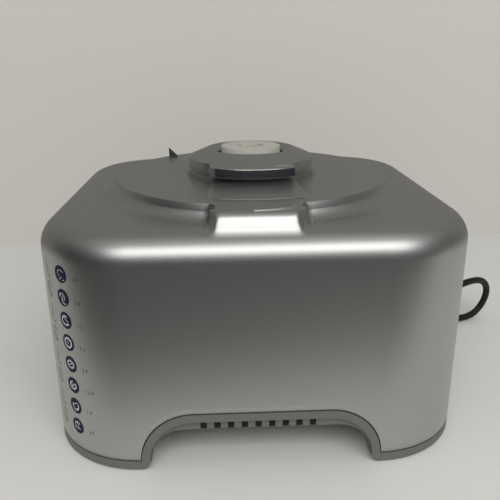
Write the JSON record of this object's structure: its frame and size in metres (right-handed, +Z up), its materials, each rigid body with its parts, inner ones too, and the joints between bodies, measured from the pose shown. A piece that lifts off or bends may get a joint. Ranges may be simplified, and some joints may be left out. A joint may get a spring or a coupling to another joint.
{
  "type": "food processor motor base",
  "caption": "Squat silver motor base of a food processor: rounded housing with a raised bowl seat, bayonet hub, drive coupling, speed knob, arched base tunnel and mains cord.",
  "frame": {"origin": "on the table, on the axis of the drive spindle", "axes": "+Z up along the spindle, -X towards the speed knob, +X towards the mains cord, Y along the tunnel through the base"},
  "size_m": [0.3254, 0.2915, 0.1545],
  "materials": {
    "silver_paint": "satin",
    "grey_plastic": "fine texture",
    "cream_plastic": "moulded",
    "rubber_black": "matt",
    "steel": "turned",
    "zinc_screw": "plated",
    "cast_alloy": "as cast",
    "black_plastic": "moulded",
    "lamination_steel": "stacked",
    "copper": "enamelled wire",
    "carbon": "sintered",
    "board_green": "solder mask",
    "dark_knob": "satin",
    "cord_black": "smooth",
    "tie_grey": "smooth"
  },
  "bodies": {
    "base": {"top_housing": "silver_paint", "bayonet_hub": "silver_paint", "base_tray": "grey_plastic", "rubber_feet": "rubber_black", "base_screws": "zinc_screw", "chassis_screws": "zinc_screw", "hub_screws": "zinc_screw", "chassis": "cast_alloy", "chassis_pillars": "steel", "lower_bearing": "steel", "upper_bearing": "steel", "spindle_seal": "rubber_black", "drive_belt": "rubber_black", "motor_lower_bearing": "steel", "motor_upper_bearing": "steel", "motor_stator": "lamination_steel", "field_coils": "copper", "motor_posts": "steel", "motor_top_bracket": "cast_alloy", "brush_holders": "black_plastic", "carbon_brushes": "carbon", "speed_switch": "black_plastic", "control_board": "board_green", "board_screws": "zinc_screw", "interlock_spring": "steel", "interlock_switch": "black_plastic", "cord_gland": "rubber_black", "cord_clamp": "black_plastic", "clamp_screws": "zinc_screw", "terminal_block": "cream_plastic", "cord_tail": "cord_black", "cord_coil": "cord_black", "mains_cord": "cord_black", "cord_tie": "tie_grey", "plug": "cord_black"},
    "drive": {"drive_coupling": "cream_plastic", "spindle": "steel", "driven_pulley": "black_plastic", "retaining_ring": "steel"},
    "rotor": {"armature": "lamination_steel", "rotor_shaft": "steel", "armature_winding": "copper", "commutator": "copper", "cooling_fan": "black_plastic", "motor_pulley": "steel"},
    "knob": {"control_knob": "dark_knob", "switch_shaft": "steel"},
    "interlock": {"interlock_plunger": "black_plastic"}
  },
  "joints": [
    {"name": "spindle_spin", "type": "hinge", "parent": "base", "child": "drive", "pos_m": [0, 0, 0.1], "axis": [0, 0, 1], "continuous": true},
    {"name": "rotor_spin", "type": "hinge", "parent": "base", "child": "rotor", "pos_m": [0.062, 0, 0.1], "axis": [0, 0, 1], "continuous": true},
    {"name": "knob_turn", "type": "hinge", "parent": "base", "child": "knob", "pos_m": [-0.116, 0, 0.085], "axis": [1, 0, 0], "range_deg": [-40, 120]},
    {"name": "interlock_press", "type": "slide", "parent": "base", "child": "interlock", "axis": [0, 0, -1], "range_m": [0, 0.005], "stiffness_N_per_m": 400, "springref_m": -0.002, "deforming": ["interlock_spring"]}
  ],
  "couplings": [
    {"joint": "rotor_spin", "follows": "spindle_spin", "ratio": 3.0909}
  ]
}
